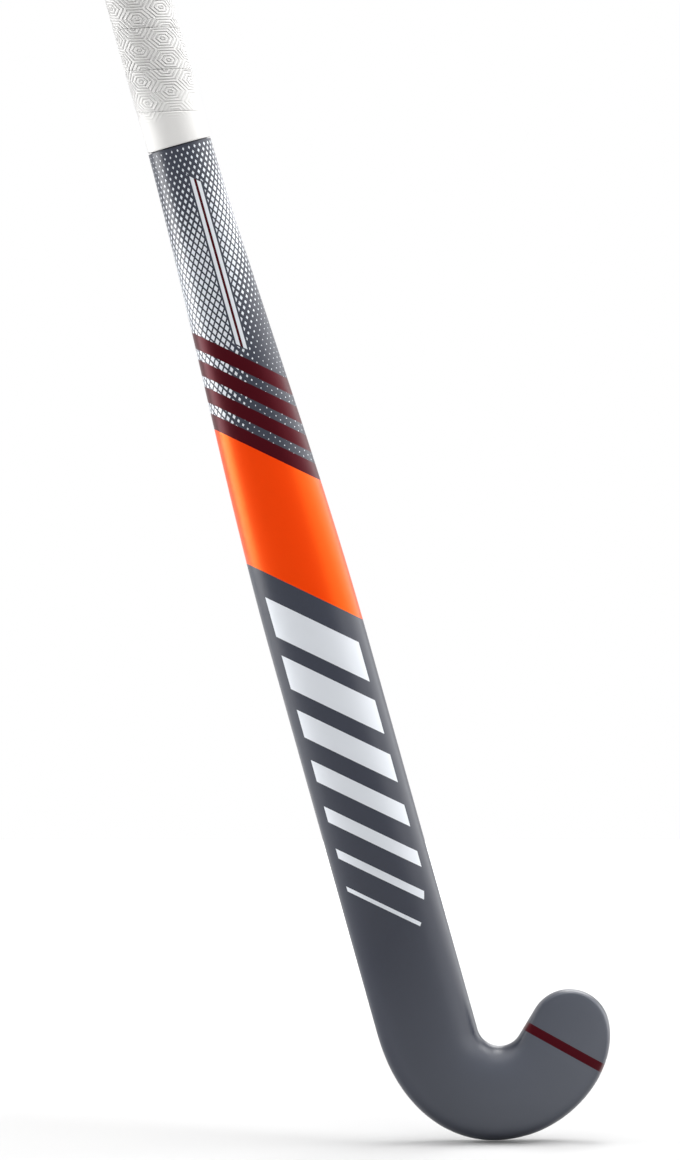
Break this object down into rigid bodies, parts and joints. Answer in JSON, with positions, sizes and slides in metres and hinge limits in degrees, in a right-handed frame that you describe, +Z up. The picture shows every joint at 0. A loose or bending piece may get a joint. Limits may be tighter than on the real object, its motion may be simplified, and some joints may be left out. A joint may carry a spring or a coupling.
{
  "type": "indoor hockey stick",
  "caption": "Right-handed indoor hockey stick: slim bowed composite shaft, short hooked head with a flat playing face, white wound cushion grip and capped handle.",
  "frame": {"origin": "on the handle's axis in the middle of the grip", "axes": "+Z up the handle towards the end cap, +X from the heel side to the toe side, +Y out of the flat playing face, -Y out of the rounded back"},
  "size_m": [0.111, 0.0504, 0.9269],
  "materials": {
    "lacquered_laminate": "satin charcoal lacquer over printed fibre composite",
    "inner_fibre": "moulded carbon fibre",
    "core_foam": "closed-cell foam",
    "cap_rubber": "matte moulded rubber",
    "cushion_grip": "white embossed polyurethane grip strip"
  },
  "bodies": {
    "root": {"outer_laminate": "lacquered_laminate", "heel_side_tube": "inner_fibre", "toe_side_tube": "inner_fibre", "head_core": "core_foam", "handle_plug": "core_foam", "end_cap": "cap_rubber", "grip_tape": "cushion_grip"}
  },
  "joints": []
}
